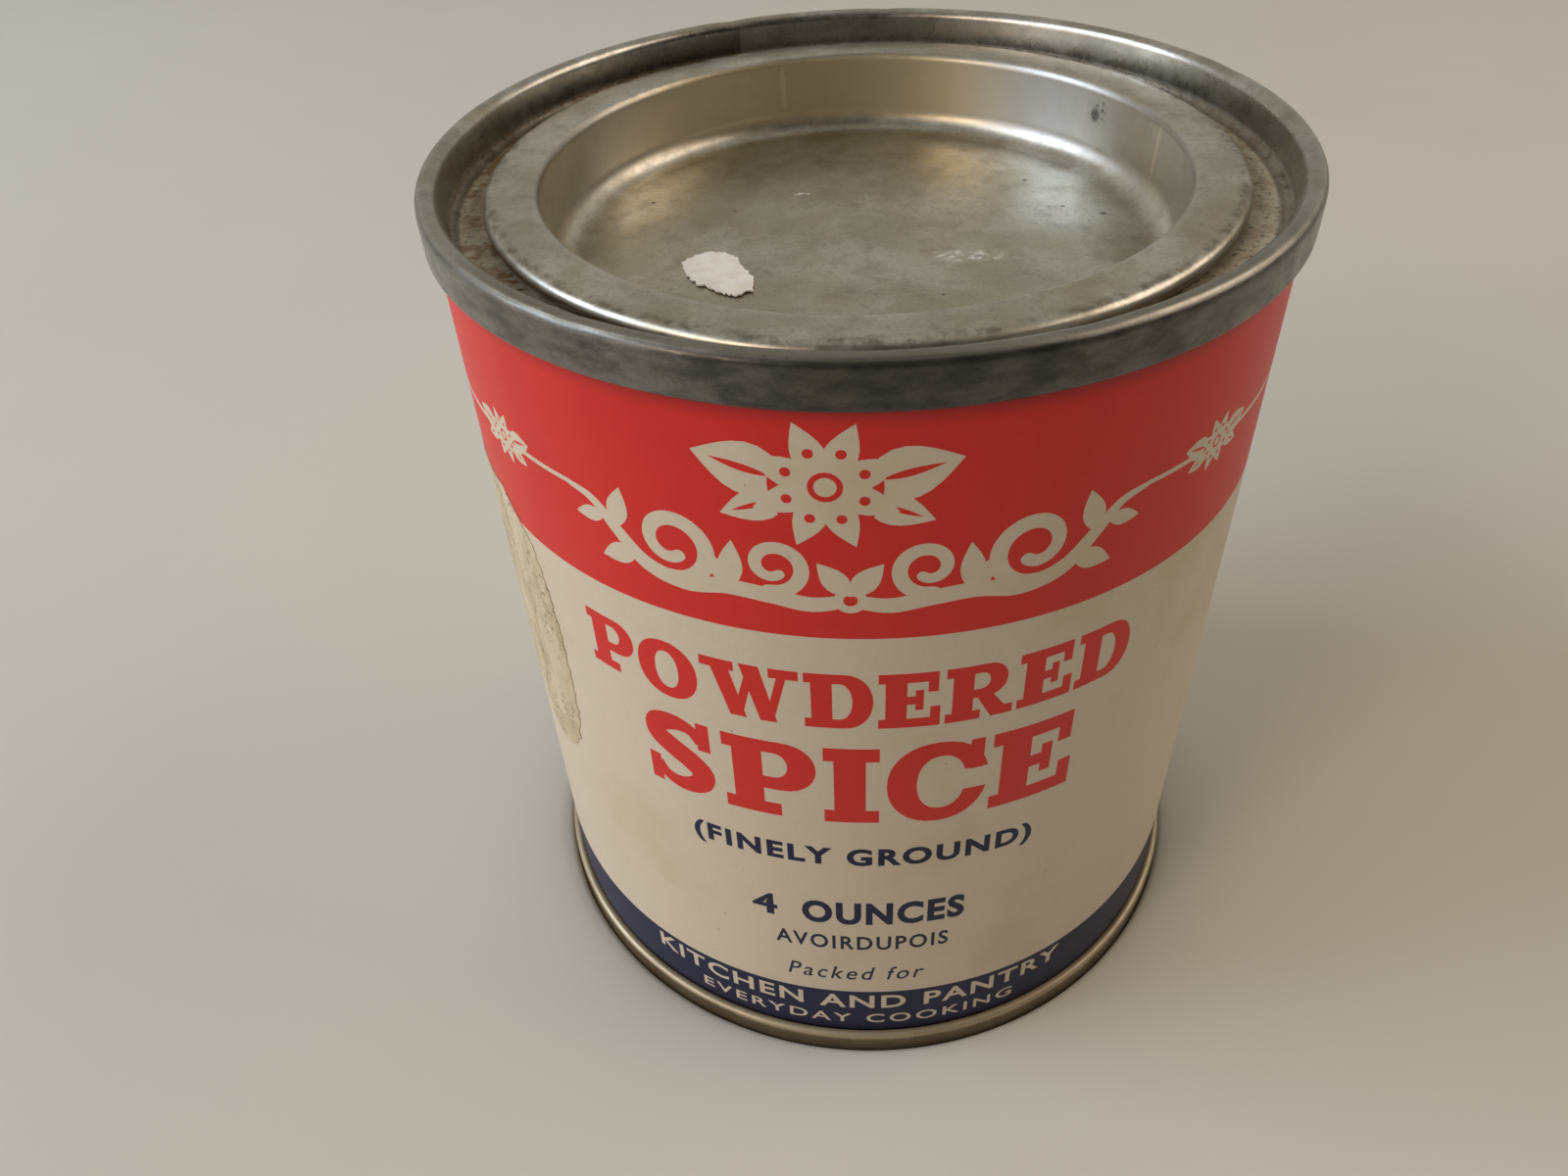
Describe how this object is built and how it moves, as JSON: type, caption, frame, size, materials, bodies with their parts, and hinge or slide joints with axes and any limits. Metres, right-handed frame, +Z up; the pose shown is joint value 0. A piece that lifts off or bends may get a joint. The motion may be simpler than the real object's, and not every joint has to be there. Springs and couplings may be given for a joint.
{
  "type": "lever-lid spice tin",
  "caption": "Small round lever-lid tin of tinplate with a push-in lid, double-seamed ends, a wrapped paper label and powder inside.",
  "frame": {"origin": "centre of the tin's footprint, on the plane the lower seam stands on", "axes": "+Z up along the tin's axis; -Y towards the front of the label; +X to the right as the label is read"},
  "size_m": [0.0572, 0.0572, 0.0659],
  "materials": {
    "body_tinplate": "satin",
    "ring_tinplate": "satin",
    "bottom_tinplate": "satin",
    "lid_tinplate": "satin",
    "solder": "satin",
    "seam_compound": "matte",
    "label_paper": "satin",
    "old_adhesive": "matte",
    "powder": "matte",
    "white_paper": "matte"
  },
  "bodies": {
    "can": {"body_shell": "body_tinplate", "side_seam_solder": "solder", "top_ring": "ring_tinplate", "top_seam_compound": "seam_compound", "bottom_end": "bottom_tinplate", "bottom_seam_compound": "seam_compound", "paper_label": "label_paper", "adhesive_strip": "old_adhesive", "powder_fill": "powder"},
    "lid": {"plug_lid": "lid_tinplate", "lid_paper_scrap": "white_paper"}
  },
  "joints": [
    {"name": "lid_lift", "type": "slide", "parent": "can", "child": "lid", "axis": [0, 0, 1], "range_m": [0, 0.04]}
  ]
}
